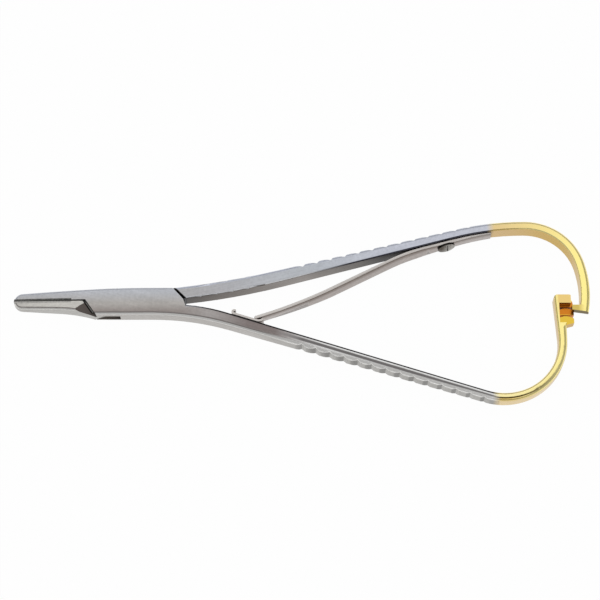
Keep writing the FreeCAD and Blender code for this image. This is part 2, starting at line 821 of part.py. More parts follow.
# The leaf spring lies along the upper handle, leaves it and sweeps down to the keeper.
def make_leaf_spring():
    body = new_body("leaf_spring")
    half = cell("spring_thick") / 2.0
    slope_one = upper_face_slope
    slope_two = cell("spring_slope")
    slope_end = cell("spring_end_slope")
    bend = cell("spring_bend_radius")
    sweep = cell("spring_end_radius")
    centre_off = cell("spring_seat_gap") + half
    slope_tail = cell("spring_tail_slope")
    wrap = cell("upper_top_radius") - cell("upper_bow_width") - centre_off
    tail = polar(upper_top_centre, wrap, slope_tail + 90.0)
    bow_start = polar(upper_top_centre, wrap, slope_one + 90.0)
    rest_off = cell("keeper_seat") + cell("keeper_thick") + cell("spring_rest_gap") + half
    rest = keeper_spot(cell("spring_rest"), rest_off)
    tip = (kept("spring_tip_x", rest[0]), kept("spring_tip_y", rest[1]))
    middle = (
        tip[0] + sweep * (sine(slope_two) - sine(slope_end)),
        tip[1] + sweep * (cosine(slope_end) - cosine(slope_two)),
    )
    seat = under_handle(middle[0], centre_off)
    lag = seat[1] + tangent(slope_one) * (middle[0] - seat[0]) - middle[1]
    run = kept("spring_run", lag / (tangent(slope_two) - tangent(slope_one)))
    meet = (middle[0] + run, middle[1] + run * tangent(slope_two))
    half_bend = bend * tangent((slope_two - slope_one) / 2.0)
    bent = polar(meet, -half_bend, slope_two)
    leave = polar(meet, half_bend, slope_one)

    def beside(point, slope, side):
        return point[0] - side * half * sine(slope), point[1] + side * half * cosine(slope)

    corners = [
        (*beside(tail, slope_tail, 1), wrap + half),
        beside(bow_start, slope_one, 1),
        (*beside(leave, slope_one, 1), bend + half),
        beside(bent, slope_two, 1),
        (*beside(middle, slope_two, 1), half - sweep),
        (*beside(tip, slope_end, 1), half),
        (*beside(tip, slope_end, -1), sweep + half),
        beside(middle, slope_two, -1),
        (*beside(bent, slope_two, -1), half - bend),
        beside(leave, slope_one, -1),
        (*beside(bow_start, slope_one, -1), half - wrap),
        beside(tail, slope_tail, -1),
    ]
    low = middle_height - cell("spring_width") / 2.0
    sketch = new_sketch(body, "leaf_spring_outline", height=low)
    draw_outline(sketch, corners)
    pad(body, sketch, "leaf_spring_blank", cell("spring_width"))
    spot = under_handle(cell("screw_place"), cell("spring_thick") + cut_over)
    depth = cell("spring_thick") + cut_over * 2.0
    drill(body, "leaf_spring_hole", *spot, upper_face_slope, cell("screw_radius"), depth)
    return body


# A round-headed pin whose head sits at the spot and whose shank points away from it along +Y turned.
def make_headed_pin(label, spot, slope, shank_radius, shank_depth, head_radius, head_height, flip):
    body = doc.addObject("PartDesign::Body", label)
    body.Label = label
    body.Placement.Rotation = FreeCAD.Rotation(FreeCAD.Vector(0, 0, 1), slope.number)
    bind(body, "Placement.Base.x", pivot_x + spot[0])
    bind(body, "Placement.Base.y", pivot_y + spot[1])
    bind(body, "Placement.Base.z", middle_height)
    bind(body, "Placement.Rotation.Angle", slope + 180.0 if flip else slope)
    sketch = new_sketch(body, label + "_profile")
    rim = head_height * cell("head_rim_share")
    dome = head_height - rim
    round_radius = (head_radius * head_radius + dome * dome) / (dome * 2.0)
    corners = [
        (0, shank_depth),
        (0, -head_height, round_radius),
        (head_radius, -rim),
        (head_radius, 0),
        (shank_radius, 0),
        (shank_radius, shank_depth),
    ]
    draw_outline(sketch, corners)
    turned = body.newObject("PartDesign::Revolution", label + "_turned")
    turned.Profile = sketch
    turned.ReferenceAxis = (sketch, ["V_Axis"])
    turned.Angle = 360.0
    doc.recompute()
    return body


def make_screw():
    spot = under_handle(cell("screw_place"), cell("spring_seat_gap") + cell("spring_thick"))
    shank = cell("screw_depth") + cell("spring_seat_gap") + cell("spring_thick")
    body = make_headed_pin(
        "spring_screw", spot, upper_face_slope, cell("screw_radius"), shank,
        cell("screw_head_radius"), cell("screw_head_height"), False
    )
    sketch = new_sketch(body, "spring_screw_slot_profile")
    half = cell("screw_slot_width") / 2.0
    low = -cell("screw_head_height") - cut_over
    high = -cell("screw_head_height") + cell("screw_slot_depth")
    draw_outline(sketch, [(-half, low), (half, low), (half, high), (-half, high)])
    pocket(body, sketch, "spring_screw_slot")
    return body


# The short keeper leaf on the lower handle: a rolled left end, a flat foot and a curled right end.
def make_keeper():
    body = new_body("keeper_leaf")
    thick = cell("keeper_thick")
    seat = cell("keeper_seat")
    roll = cell("keeper_roll")
    lip = roll + cell("keeper_lip")
    run = cell("keeper_run")
    curl = cell("keeper_curl_radius")
    turn = cell("keeper_curl_angle")
    end = (run + curl * sine(turn), seat + curl * (1.0 - cosine(turn)))
    inner = curl - thick
    end_in = (run + inner * sine(turn), seat + thick + inner * (1.0 - cosine(turn)))
    small = roll - thick
    over = seat + roll * 2.0
    profile = [
        (0.0, seat + roll, roll),
        (roll, seat),
        (run, seat, curl),
        end,
        (*end_in, -inner),
        (run, seat + thick),
        (roll, seat + thick, -small),
        (thick, seat + roll, -small),
        (roll, over - thick),
        (lip, over - thick),
        (lip, over),
        (roll, over, roll),
    ]
    corners = [(*keeper_spot(*sized(corner[:2])), *corner[2:]) for corner in profile]
    low = middle_height - cell("keeper_width") / 2.0
    sketch = new_sketch(body, "keeper_leaf_outline", height=low)
    draw_outline(sketch, corners)
    pad(body, sketch, "keeper_leaf_blank", cell("keeper_width"))
    spot = keeper_spot(rivet_along, thick + cut_over)
    drill(body, "keeper_leaf_hole", *spot, lower_face_slope, cell("rivet_radius"), -thick - cut_over * 2.0)
    return body


def make_rivet():
    spot = keeper_spot(rivet_along, cell("keeper_seat") + cell("keeper_thick"))
    shank = cell("rivet_depth") + cell("keeper_seat") + cell("keeper_thick")
    return make_headed_pin(
        "keeper_rivet", spot, lower_face_slope, cell("rivet_radius"), shank,
        cell("rivet_head_radius"), cell("rivet_head_height"), True
    )


parts = [
    make_box_half(),
    make_cross_half(),
    make_insert("upper_jaw_insert", 1),
    make_insert("lower_jaw_insert", -1),
    make_pin(),
    make_leaf_spring(),
    make_screw(),
    make_keeper(),
    make_rivet(),
]
doc.recompute()

for item in doc.Objects:
    if "Invalid" in item.State or "Error" in item.State:
        raise RuntimeError(f"{item.Name} failed: {item.State}")
for part in parts:
    if part.Shape.isNull() or not part.Shape.isValid() or len(part.Shape.Solids) != 1:
        raise RuntimeError(f"{part.Label} isn't one valid solid")
for part in parts:
    part.Shape.exportStep(f"parts/{part.Label}.step")
    print(part.Label, round(part.Shape.Volume, 2), part.Shape.BoundBox)
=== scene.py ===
import math
import bmesh
import bpy
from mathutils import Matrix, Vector


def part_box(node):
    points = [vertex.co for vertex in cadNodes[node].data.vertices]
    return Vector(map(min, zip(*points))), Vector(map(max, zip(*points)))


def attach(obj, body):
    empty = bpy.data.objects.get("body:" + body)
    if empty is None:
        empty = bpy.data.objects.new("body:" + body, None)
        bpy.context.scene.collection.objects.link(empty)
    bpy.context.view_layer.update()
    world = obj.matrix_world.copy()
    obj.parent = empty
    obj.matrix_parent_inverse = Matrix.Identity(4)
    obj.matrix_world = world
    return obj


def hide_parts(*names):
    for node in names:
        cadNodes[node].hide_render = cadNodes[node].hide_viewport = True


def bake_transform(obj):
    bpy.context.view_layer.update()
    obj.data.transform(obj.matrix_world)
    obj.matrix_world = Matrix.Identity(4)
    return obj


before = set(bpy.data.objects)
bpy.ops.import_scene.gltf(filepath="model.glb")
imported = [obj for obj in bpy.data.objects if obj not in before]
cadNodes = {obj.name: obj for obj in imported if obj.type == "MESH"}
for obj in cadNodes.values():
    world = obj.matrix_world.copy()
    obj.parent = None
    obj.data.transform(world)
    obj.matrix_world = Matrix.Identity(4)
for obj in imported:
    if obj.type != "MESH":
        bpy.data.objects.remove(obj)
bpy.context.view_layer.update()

mm = 0.001

# Needle holder lying flat: jaws towards -X, spring half towards +Y, +Z up.

xAxis, yAxis, zAxis = (1.0, 0.0, 0.0), (0.0, 1.0, 0.0), (0.0, 0.0, 1.0)


def addObject(name, data):
    item = bpy.data.objects.new(name, data)
    bpy.context.scene.collection.objects.link(item)
    return item


# Turns a camera or a lamp along its line of sight.
def aim(item, sight):
    item.rotation_euler = sight.to_track_quat("-Z", "Y").to_euler()


def countTriangles(mesh):
    return sum(len(face.vertices) - 2 for face in mesh.polygons)


cameraView = {"position": (-0.6, -207.7, 553.8), "target": (-0.6, 3.75, 3.0), "lens": 120.0, "sensor": 36.0,
              "clipFrom": 0.01, "clipTo": 10.0}


def makeCamera(view):
    data = bpy.data.cameras.new("photoCamera")
    data.lens = view["lens"]
    data.sensor_width = view["sensor"]
    data.clip_start = view["clipFrom"]
    data.clip_end = view["clipTo"]
    data.dof.use_dof = False
    camera = addObject("photoCamera", data)
    camera.location = Vector(view["position"]) * mm
    aim(camera, Vector(view["target"]) * mm - camera.location)
    bpy.context.scene.camera = camera


makeCamera(cameraView)
print("camera placed")


# Small helpers for node trees.
def addNode(tree, kind, **values):
    node = tree.nodes.new(kind)
    for name, value in values.items():
        setattr(node, name, value)
    return node


def feed(tree, node, key, value):
    socket = node.inputs[key]
    if isinstance(value, bpy.types.NodeSocket):
        tree.links.new(value, socket)
    elif isinstance(value, (tuple, list)) and len(value) == 3 and socket.type == "RGBA":
        socket.default_value = (*value, 1.0)
    else:
        socket.default_value = value


def feedAll(tree, node, values):
    for name, value in values.items():
        feed(tree, node, name, value)


def mathNode(tree, operation, first, second=None, third=None):
    node = addNode(tree, "ShaderNodeMath", operation=operation)
    for key, value in enumerate((first, second, third)):
        if value is not None:
            feed(tree, node, key, value)
    return node.outputs[0]


def both(tree, *masks):
    result = masks[0]
    for mask in masks[1:]:
        result = mathNode(tree, "MULTIPLY", result, mask)
    return result


def mixColour(tree, factor, first, second):
    node = addNode(tree, "ShaderNodeMix", data_type="RGBA")
    feed(tree, node, 0, factor)
    feed(tree, node, 6, first)
    feed(tree, node, 7, second)
    return node.outputs[2]


def mixValue(tree, factor, first, second):
    node = addNode(tree, "ShaderNodeMix", data_type="FLOAT")
    feed(tree, node, 0, factor)
    feed(tree, node, 2, first)
    feed(tree, node, 3, second)
    return node.outputs[0]


def ramp(tree, value, low, high, outLow=0.0, outHigh=1.0):
    node = addNode(tree, "ShaderNodeMapRange", clamp=True)
    for key, number in enumerate((value, low, high, outLow, outHigh)):
        feed(tree, node, key, number)
    return node.outputs[0]


def newGroup(name, inputs, outputs):
    group = bpy.data.node_groups.new(name, "ShaderNodeTree")
    for label, kind, value in inputs:
        socket = group.interface.new_socket(label, in_out="INPUT", socket_type=kind)
        socket.default_value = value
    for label in outputs:
        group.interface.new_socket(label, in_out="OUTPUT", socket_type="NodeSocketFloat")
    return group, group.nodes.new("NodeGroupOutput")


def useGroup(tree, group, **values):
    node = addNode(tree, "ShaderNodeGroup", node_tree=group)
    feedAll(tree, node, values)
    return node


# A colour that changes along X, each place in millimetres.
def colourAlong(tree, stops):
    place = addNode(tree, "ShaderNodeTexCoord")
    parts = addNode(tree, "ShaderNodeSeparateXYZ")
    feed(tree, parts, 0, place.outputs["Object"])
    first, last = stops[0][0], stops[-1][0]
    node = addNode(tree, "ShaderNodeValToRGB")
    feed(tree, node, 0, ramp(tree, parts.outputs[0], first * mm, last * mm))
    points = node.color_ramp.elements
    while len(points) < len(stops):
        points.new(0.5)
    for point, (spot, colour) in zip(points, stops):
        point.position = (spot - first) / (last - first)
        point.color = (*colour, 1.0)
    return node.outputs[0]


# Fine ground lines that run along one direction of the steel, slow clouds of tone, and small flecks.
grainForm = {
    "along": 60.0,
    "across": 2500.0,
    "line": {"Scale": 1.0, "Detail": 3.0},
    "lineSpan": (0.3, 0.7),
    "cloud": {"Scale": 90.0, "Detail": 2.0},
    "cloudSpan": (0.3, 0.7),
    "fleck": {"Scale": 1400.0},
    "fleckSpan": (0.35, 0.65),
    "fleckShare": 0.5,
}


def addNoise(tree, place, values, span):
    noise = addNode(tree, "ShaderNodeTexNoise", noise_dimensions="3D")
    feed(tree, noise, "Vector", place)
    feedAll(tree, noise, values)
    return ramp(tree, noise.outputs[0], *span)


def makeGroundGrain(form):
    inputs = [("Turn", "NodeSocketFloat", 0.0), ("Along", "NodeSocketFloat", form["along"]),
              ("Across", "NodeSocketFloat", form["across"])]
    group, end = newGroup("groundGrain", inputs, ["Line", "Cloud", "Fleck"])
    start = addNode(group, "NodeGroupInput")
    place = addNode(group, "ShaderNodeTexCoord").outputs["Object"]
    swung = addNode(group, "ShaderNodeVectorRotate", rotation_type="Z_AXIS")
    feed(group, swung, "Vector", place)
    feed(group, swung, "Angle", start.outputs["Turn"])
    scale = addNode(group, "ShaderNodeCombineXYZ")
    feed(group, scale, 0, start.outputs["Along"])
    feed(group, scale, 1, start.outputs["Across"])
    feed(group, scale, 2, start.outputs["Across"])
    stretched = addNode(group, "ShaderNodeVectorMath", operation="MULTIPLY")
    feed(group, stretched, 0, swung.outputs[0])
    feed(group, stretched, 1, scale.outputs[0])
    feed(group, end, "Line", addNoise(group, stretched.outputs[0], form["line"], form["lineSpan"]))
    feed(group, end, "Cloud", addNoise(group, place, form["cloud"], form["cloudSpan"]))
    feed(group, end, "Fleck", addNoise(group, place, form["fleck"], form["fleckSpan"]))
    return group


# Tells walls, front edges and rear edges apart by the way each spot of the surface faces.
faceLimits = {
    "wall": (0.6, 0.3),
    "edgeLow": (0.3, 0.6),
    "edgeHigh": (0.998, 0.96),
    "front": (0.0, -0.2),
    "rear": (0.0, 0.2),
    "creaseLow": (0.86, 0.93),
    "creaseHigh": (0.999, 0.985),
    "creaseFront": (-0.02, -0.12),
}


def makeFaceMask(limits):
    group, end = newGroup("faceMask", [], ["Wall", "Front", "Rear", "Crease"])
    facing = addNode(group, "ShaderNodeNewGeometry")
    parts = addNode(group, "ShaderNodeSeparateXYZ")
    feed(group, parts, 0, facing.outputs["Normal"])
    level = mathNode(group, "ABSOLUTE", parts.outputs[2])
    edge = both(group, ramp(group, level, *limits["edgeLow"]), ramp(group, level, *limits["edgeHigh"]))
    crease = both(group, ramp(group, level, *limits["creaseHigh"]), ramp(group, level, *limits["creaseLow"]))
    feed(group, end, "Wall", ramp(group, level, *limits["wall"]))
    bands = {"front": ("Front", edge), "rear": ("Rear", edge), "creaseFront": ("Crease", crease)}
    for key, (name, band) in bands.items():
        feed(group, end, name, both(group, band, ramp(group, parts.outputs[1], *limits[key])))
    return group


# How far the surface turns, or lies, towards a direction, from low to high.
def makeDirectionMask(name, kind, socket):
    inputs = [("Direction", "NodeSocketVector", xAxis), ("Low", "NodeSocketFloat", 0.0),
              ("High", "NodeSocketFloat", 1.0)]
    group, end = newGroup(name, inputs, ["Share"])
    start = addNode(group, "NodeGroupInput")
    source = addNode(group, kind)
    product = addNode(group, "ShaderNodeVectorMath", operation="DOT_PRODUCT")
    feed(group, product, 0, source.outputs[socket])
    feed(group, product, 1, start.outputs["Direction"])
    share = ramp(group, product.outputs["Value"], start.outputs["Low"], start.outputs["High"])
    feed(group, end, "Share", share)
    return group


groundGrain = makeGroundGrain(grainForm)
faceMask = makeFaceMask(faceLimits)
turnMask = makeDirectionMask("turnMask", "ShaderNodeNewGeometry", "Normal")
placeMask = makeDirectionMask("placeMask", "ShaderNodeTexCoord", "Object")
print("shared shader groups built")


# Low and high are cosines for turned and millimetres for past.
def turned(tree, direction, low, high):
    return useGroup(tree, turnMask, Direction=Vector(direction).normalized(), Low=low, High=high).outputs[0]


def past(tree, direction, low, high):
    return useGroup(tree, placeMask, Direction=Vector(direction), Low=low * mm, High=high * mm).outputs[0]


# Limits are a list of masks that all have to hold.
def within(tree, limits):
    return both(tree, *[makeMask(tree, *limit) for makeMask, *limit in limits])


# Lays one tone over another where all the shares hold. A share is a mask or a list of limits.
def laid(tree, under, over, *shares):
    masks = []
    for share in shares:
        masks.append(share if isinstance(share, bpy.types.NodeSocket) else within(tree, share))
    return mixColour(tree, both(tree, *masks), under, over)


# Fine lines and flecks of ground steel over a plain tone.
def groundTone(tree, grain, tone, amount):
    grit = mixValue(tree, grainForm["fleckShare"], grain.outputs["Line"], grain.outputs["Fleck"])
    shade = addNode(tree, "ShaderNodeVectorMath", operation="SCALE")
    feed(tree, shade, 0, tone)
    feed(tree, shade, "Scale", ramp(tree, grit, 0.0, 1.0, 1.0 - amount, 1.0 + amount))
    return shade.outputs[0]


def newMetal(name):
    material = bpy.data.materials.new(name)
    material.use_nodes = True
    shader = material.node_tree.nodes["Principled BSDF"]
    shader.inputs["Metallic"].default_value = 1.0
    return material, material.node_tree, shader


def addBump(tree, shader, height, look):
    bump = addNode(tree, "ShaderNodeBump")
    feed(tree, bump, "Strength", look["bump"])
    feed(tree, bump, "Distance", look["bumpDepth"] * mm)
    feed(tree, bump, "Height", height)
    feed(tree, shader, "Normal", bump.outputs[0])


steelLook = {"roughFace": 0.34, "roughWall": 0.30, "roughCloud": 0.08, "bump": 0.08, "bumpDepth": 0.05}

# Names that end in At hold the limits of a tone.
plateLook = {
    "rough": 0.24,
    "faceLeft": (0.74, 0.56, 0.27),
    # Painted highlight: the gold faces of the lower bow, below y = 0, are lighter.
    "faceLower": (0.90, 0.79, 0.40),
    "faceLowerAt": [(past, yAxis, 0.0, -4.0)],
    "faceRight": (0.98, 0.84, 0.30),
    "faceRightAt": [(past, xAxis, 58.0, 82.0)],
    # Painted shade: the walls are darker copies of the gold. The walls of the lower bow that face -Y are
    # lighter, a painted highlight.
    "wallLeft": (0.60, 0.41, 0.17),
    "wallRight": (0.56, 0.36, 0.06),
    "wallRightAt": [(past, xAxis, 60.0, 78.0)],
    "wallUnder": (0.74, 0.57, 0.29),
    "wallUnderAt": [(past, yAxis, 0.0, -4.0), (turned, yAxis, -0.4, -0.8)],
    # Painted shade on the front edges, with a painted highlight on them towards the right.
    "front": (0.66, 0.49, 0.17),
    "frontRight": (1.0, 0.88, 0.42),
    "frontRightAt": [(past, xAxis, 60.0, 70.0)],
    # Painted shade: a dark line in the crease between face and edge, left of x = 63 mm.
    "crease": (0.14, 0.09, 0.02),
    "creaseAt": [(past, xAxis, 74.0, 63.0)],
    # Painted highlight on the rear edges.
    "rear": (0.98, 0.82, 0.38),
}


# Polished plating over the bow ends: paler where it starts, richer to the right. Painted shade lies on the
# walls, front edges and creases, and painted highlights on the lower bow, the front edges towards the right
# and the rear edges.
def makePlating(tree, mask, look):
    face = laid(tree, look["faceLeft"], look["faceLower"], look["faceLowerAt"])
    face = laid(tree, face, look["faceRight"], look["faceRightAt"])
    wall = laid(tree, look["wallLeft"], look["wallRight"], look["wallRightAt"])
    wall = laid(tree, wall, look["wallUnder"], look["wallUnderAt"])
    front = laid(tree, look["front"], look["frontRight"], look["frontRightAt"])
    gold = laid(tree, face, wall, mask.outputs["Wall"])
    gold = laid(tree, gold, front, mask.outputs["Front"])
    gold = laid(tree, gold, look["crease"], mask.outputs["Crease"], look["creaseAt"])
    return laid(tree, gold, look["rear"], mask.outputs["Rear"])


rackLook = {
    "cap": (0.80, 0.58, 0.21),
    "capAt": [(past, xAxis, 75.0, 75.4), (past, yAxis, 1.9, 2.1), (past, zAxis, 3.1, 3.3)],
    # Painted shade: dark orange on the first tooth and near-black red in the recess under the cap; the lower
    # teeth and the foot are lighter.
    "upperTooth": (0.60, 0.20, 0.02),
    "lowerTooth": (0.74, 0.50, 0.06),
    "lowerToothAt": [(past, yAxis, -0.7, -1.1)],
    "recess": (0.12, 0.008, 0.003),
    "recessEndAt": [(past, yAxis, 0.9, 0.4)],
    "foot": (0.56, 0.34, 0.07),
    "footAt": [(past, yAxis, -1.5, -2.5)],
    "underCapAt": [(past, xAxis, 75.0, 75.4), (past, yAxis, -4.8, -4.4), (past, yAxis, 3.4, 3.0),
                   (past, zAxis, 3.3, 3.05)],
}


# Deep red under the rack's cap, orange on its first tooth and yellow at its foot: painted shade, darkest in
# the recess under the cap and lighter further down.
def makeRackPlating(tree, mask, gold, look):
    tooth = laid(tree, look["upperTooth"], look["lowerTooth"], look["lowerToothAt"])
    wall = laid(tree, look["recess"], look["upperTooth"], look["recessEndAt"])
    wall = laid(tree, wall, look["foot"], look["footAt"])
    gold = laid(tree, gold, look["cap"], look["capAt"])
    return laid(tree, gold, laid(tree, tooth, wall, mask.outputs["Wall"]), look["underCapAt"])


prongLook = {
    "bar": (0.62, 0.47, 0.13),
    "barAt": [(past, xAxis, 78.9, 79.0), (past, zAxis, 3.0, 3.1), (past, yAxis, 1.6, 1.3),
              (past, yAxis, -1.5, -1.0)],
    "end": (0.98, 0.84, 0.30),
    "endAt": [(past, xAxis, 81.0, 83.0)],
    # Painted shade: the walls below the prong are near black.
    "under": (0.12, 0.08, 0.01),
    "underAt": [(turned, (-0.3, -1.0, 0.0), 0.5, 0.7)],
}


def makeProngPlating(tree, mask, gold, look):
    bar = laid(tree, look["bar"], look["end"], look["endAt"])
    bar = laid(tree, bar, look["under"], mask.outputs["Wall"], look["underAt"])
    return laid(tree, gold, bar, look["barAt"])


def finishHalf(tree, shader, mask, grain, steel, gold, plateAt, look):
    plated = within(tree, plateAt)
    feed(tree, shader, "Base Color", mixColour(tree, plated, steel, gold))
    rough = mixValue(tree, mask.outputs["Wall"], look["roughFace"], look["roughWall"])
    rough = mathNode(tree, "MULTIPLY_ADD", grain.outputs["Cloud"], look["roughCloud"], rough)
    feed(tree, shader, "Roughness", mixValue(tree, plated, rough, plateLook["rough"]))
    plain = mathNode(tree, "SUBTRACT", 1.0, plated)
    addBump(tree, shader, both(tree, grain.outputs["Line"], plain), look)


lowerHandleAcross = (0.3034, 0.9529, 0.0)

boxHalfLook = {
    "turn": 17.0,
    "line": 0.10,
    "boxLow": (0.30, 0.265, 0.25),
    "boxMiddle": (0.44, 0.42, 0.40),
    "boxMiddleAt": [(past, yAxis, -0.6, 1.6)],
    "boxTop": (0.50, 0.515, 0.55),
    "boxTopAt": [(past, yAxis, 2.0, 5.5)],
    "handleAt": [(past, (1.0, -0.6, 0.0), -36.0, -27.0)],
    "handleStart": (0.40, 0.375, 0.365),
    "handleDark": (0.22, 0.188, 0.182),
    "handleDarkAt": [(past, xAxis, -27.0, -16.0)],
    # Painted highlight: the face of the lower handle turns light between x = -8 and 6 mm.
    "handleLight": (0.80, 0.80, 0.79),
    "handleLightAt": [(past, xAxis, -8.0, 6.0)],
    # Painted reflection: a dark band along the middle of the lower handle's face, fading in from x = -8 mm.
    "reflectedBand": (0.17, 0.16, 0.16),
    "reflectedBandAt": [(past, lowerHandleAcross, -8.4, -8.7), (past, lowerHandleAcross, -9.6, -9.3),
                 (past, xAxis, -8.0, 0.0)],
    "wall": (0.46, 0.44, 0.42),
    "gripAt": [(past, xAxis, -12.0, 2.0)],
    # Painted shade: on the finger grip, the flank of each hump that turns towards +X is darker.
    "humpLight": (0.40, 0.39, 0.37),
    "humpDark": (0.20, 0.195, 0.185),
    "humpDarkAt": [(turned, (0.958, -0.287, 0.0), -0.04, 0.36)],
    # Painted highlight: a light band along the top of the lower handle's outer wall, from x = -4 mm on.
    "shoulder": (0.78, 0.77, 0.75),
    "shoulderAt": [(past, xAxis, -12.0, -4.0), (past, zAxis, 4.3, 4.8), (past, yAxis, 0.0, -1.0)],
    # Painted highlight on the front edges. Painted shade: a dark line in the crease of box and jaw, left of
    # x = -12 mm.
    "front": (0.90, 0.89, 0.87),
    "crease": (0.30, 0.27, 0.26),
    "creaseAt": [(past, xAxis, -4.0, -12.0)],
    # Painted reflection: bluish rear edges on the box, near black ones on the handle.
    "rearBox": (0.60, 0.62, 0.68),
    "rearHandle": (0.035, 0.033, 0.035),
    # Painted shade: near black on the walls in the jaws' mouth and at both ends of the box.
    "gap": (0.02, 0.02, 0.02),
    "mouthAt": [(past, yAxis, 1.0, 1.4), (turned, yAxis, -0.6, -0.8)],
    "rightEndAt": [(turned, (1.0, 0.6, 0.0), 0.8, 0.9), (past, xAxis, -34.0, -35.0)],
    "leftEndAt": [(turned, (-0.81, -0.59, 0.0), 0.95, 0.98), (past, xAxis, -58.0, -59.0)],
    "plateAt": [(past, (1.0, 0.1, 0.0), 52.4, 54.6)],
}


def makeBoxHalfSteel(look):
    material, tree, shader = newMetal("boxHalfSteel")
    grain = useGroup(tree, groundGrain, Turn=math.radians(look["turn"]))
    mask = useGroup(tree, faceMask)
    box = laid(tree, look["boxLow"], look["boxMiddle"], look["boxMiddleAt"])
    box = laid(tree, box, look["boxTop"], look["boxTopAt"])
    handle = laid(tree, look["handleStart"], look["handleDark"], look["handleDarkAt"])
    handle = laid(tree, handle, look["handleLight"], look["handleLightAt"])
    # Painted reflection: the dark band along the handle's face.
    handle = laid(tree, handle, look["reflectedBand"], look["reflectedBandAt"])
    face = groundTone(tree, grain, laid(tree, box, handle, look["handleAt"]), look["line"])
    grip = laid(tree, look["humpLight"], look["humpDark"], look["humpDarkAt"])
    wall = laid(tree, look["wall"], grip, look["gripAt"])
    wall = laid(tree, wall, look["shoulder"], look["shoulderAt"])
    wall = groundTone(tree, grain, wall, look["line"])
    rear = laid(tree, look["rearBox"], look["rearHandle"], look["handleAt"])
    steel = laid(tree, face, wall, mask.outputs["Wall"])
    steel = laid(tree, steel, look["front"], mask.outputs["Front"])
    steel = laid(tree, steel, look["crease"], mask.outputs["Crease"], look["creaseAt"])
    steel = laid(tree, steel, rear, mask.outputs["Rear"])
    # Painted shade on the walls in the mouth and at the box's ends.
    for gapAt in (look["mouthAt"], look["rightEndAt"], look["leftEndAt"]):
        steel = laid(tree, steel, look["gap"], mask.outputs["Wall"], gapAt)
    gold = makeRackPlating(tree, mask, makePlating(tree, mask, plateLook), rackLook)
    finishHalf(tree, shader, mask, grain, steel, gold, look["plateAt"], steelLook)
    return material


crossHalfLook = {
    "turn": -14.0,
    "line": 0.10,
    "face": [(-85.0, (0.58, 0.565, 0.53)), (-62.0, (0.58, 0.565, 0.53)), (-40.0, (0.42, 0.415, 0.41)),
             (-24.0, (0.45, 0.45, 0.47)), (0.0, (0.50, 0.525, 0.56)), (24.0, (0.54, 0.56, 0.63)),
             (56.0, (0.54, 0.56, 0.63))],
    "handleAt": [(past, xAxis, -44.0, -40.0)],
    "jawWall": (0.46, 0.45, 0.43),
    "outerWall": (0.44, 0.45, 0.48),
    # Painted shade: the inner wall that faces -Y, towards the spring and the lower handle, is near black and
    # lighter around x = 0.
    "innerWall": [(-38.0, (0.03, 0.026, 0.024)), (-24.0, (0.13, 0.112, 0.10)), (0.0, (0.26, 0.235, 0.22)),
                  (14.0, (0.13, 0.115, 0.105)), (24.0, (0.025, 0.022, 0.022)), (56.0, (0.02, 0.018, 0.022))],
    "innerWallAt": [(turned, yAxis, 0.2, -0.2)],
    # Painted highlight on the front edges of jaw and handle; painted reflection, near black, on the front
    # edge beside the spring.
    "frontJaw": (0.86, 0.85, 0.82),
    "frontHandle": (0.82, 0.83, 0.86),
    "frontNearSpring": (0.05, 0.05, 0.07),
    "frontNearSpringAt": [(past, xAxis, 0.0, 14.0)],
    # Painted shade in a dark line along the jaw's crease, left of x = -62 mm; painted reflection, bluish, on
    # the rear edges.
    "crease": (0.30, 0.27, 0.26),
    "creaseAt": [(past, xAxis, -58.0, -62.0)],
    "rear": (0.62, 0.65, 0.74),
    # Painted shade: the slanted facet at the lower jaw's root is dark, varied by clouds of tone.
    "facet": (0.135, 0.115, 0.105),
    "facetCloud": (0.2025, 0.1725, 0.1575),
    "facetAt": [(turned, (0.176, -0.293, 0.940), 0.992, 0.998), (past, xAxis, -58.0, -59.0)],
    # Painted shade: near black on the end walls inside the box, and deeper black in lines beside the box and
    # beside the facet.
    "gap": (0.02, 0.02, 0.02),
    "endsAt": [(turned, (-1.0, -0.6, 0.0), 0.8, 0.9), (past, xAxis, -34.0, -35.0),
               (past, xAxis, -70.0, -68.0), (past, zAxis, 2.2, 2.6)],
    "deepGapShade": (0.004, 0.004, 0.004),
    "besideBoxAt": [(past, (1.0, 1.0, 0.0), -30.4, -30.6), (past, xAxis, -41.0, -40.0)],
    "besideFacetAt": [(past, (0.797, 0.604, 0.0), -49.9, -49.75), (past, xAxis, -58.0, -59.0),
                      (past, zAxis, 3.7, 4.0)],
    "plateAt": [(past, xAxis, 55.0, 57.2)],
}


